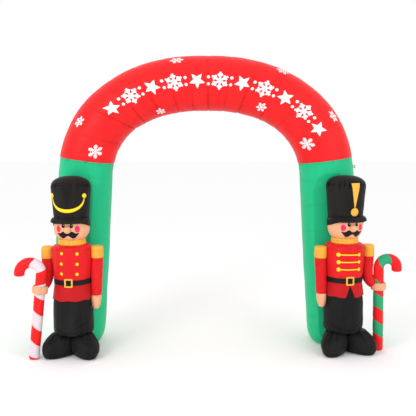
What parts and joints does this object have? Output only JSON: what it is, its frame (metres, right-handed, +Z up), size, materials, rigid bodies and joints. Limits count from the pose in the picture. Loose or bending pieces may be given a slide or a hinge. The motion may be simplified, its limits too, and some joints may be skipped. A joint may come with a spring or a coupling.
{
  "type": "inflatable arch",
  "caption": "Inflatable holiday archway: red crown tube on green leg tubes, a toy soldier with a striped candy cane sewn in front of each leg.",
  "frame": {"origin": "on the ground under the middle of the whole product's box", "axes": "+X towards the viewer's right across the passage, +Y from the soldiers' fronts to the back of the arch tube, +Z up"},
  "size_m": [3.1419, 0.7934, 2.4426],
  "materials": {
    "red_polyester": "satin",
    "dark_red_polyester": "satin",
    "green_polyester": "satin",
    "black_polyester": "satin",
    "gold_polyester": "satin",
    "yellow_polyester": "satin",
    "skin_polyester": "satin",
    "white_polyester": "satin",
    "black_webbing": "matt"
  },
  "bodies": {
    "root": {"arch_crown": "red_polyester", "arch_leg_left": "green_polyester", "arch_leg_right": "green_polyester", "soldier_left_belt": "black_polyester", "soldier_left_boot_inner": "black_polyester", "soldier_left_boot_outer": "black_polyester", "soldier_left_buckle": "gold_polyester", "soldier_left_cane": "white_polyester", "soldier_left_collar": "gold_polyester", "soldier_left_epaulette_inner": "gold_polyester", "soldier_left_epaulette_outer": "gold_polyester", "soldier_left_fist": "skin_polyester", "soldier_left_hair": "black_polyester", "soldier_left_hat": "black_polyester", "soldier_left_head": "skin_polyester", "soldier_left_mitten": "skin_polyester", "soldier_left_moustache": "black_polyester", "soldier_left_nose": "skin_polyester", "soldier_left_skirt": "dark_red_polyester", "soldier_left_sleeve_bent": "red_polyester", "soldier_left_sleeve_straight": "red_polyester", "soldier_left_swag": "yellow_polyester", "soldier_left_swag_ball_inner": "yellow_polyester", "soldier_left_swag_ball_outer": "yellow_polyester", "soldier_left_trousers": "black_polyester", "soldier_left_tunic": "red_polyester", "soldier_left_visor": "black_polyester", "soldier_right_belt": "black_polyester", "soldier_right_boot_inner": "black_polyester", "soldier_right_boot_outer": "black_polyester", "soldier_right_buckle": "gold_polyester", "soldier_right_cane": "green_polyester", "soldier_right_collar": "gold_polyester", "soldier_right_epaulette_inner": "gold_polyester", "soldier_right_epaulette_outer": "gold_polyester", "soldier_right_fist": "skin_polyester", "soldier_right_hair": "black_polyester", "soldier_right_hat": "black_polyester", "soldier_right_head": "skin_polyester", "soldier_right_mitten": "skin_polyester", "soldier_right_moustache": "black_polyester", "soldier_right_nose": "skin_polyester", "soldier_right_plume": "gold_polyester", "soldier_right_plume_ball": "gold_polyester", "soldier_right_skirt": "dark_red_polyester", "soldier_right_sleeve_bent": "red_polyester", "soldier_right_sleeve_straight": "red_polyester", "soldier_right_trousers": "black_polyester", "soldier_right_tunic": "red_polyester", "soldier_right_visor": "black_polyester", "tether_loop": "black_webbing"}
  },
  "joints": []
}
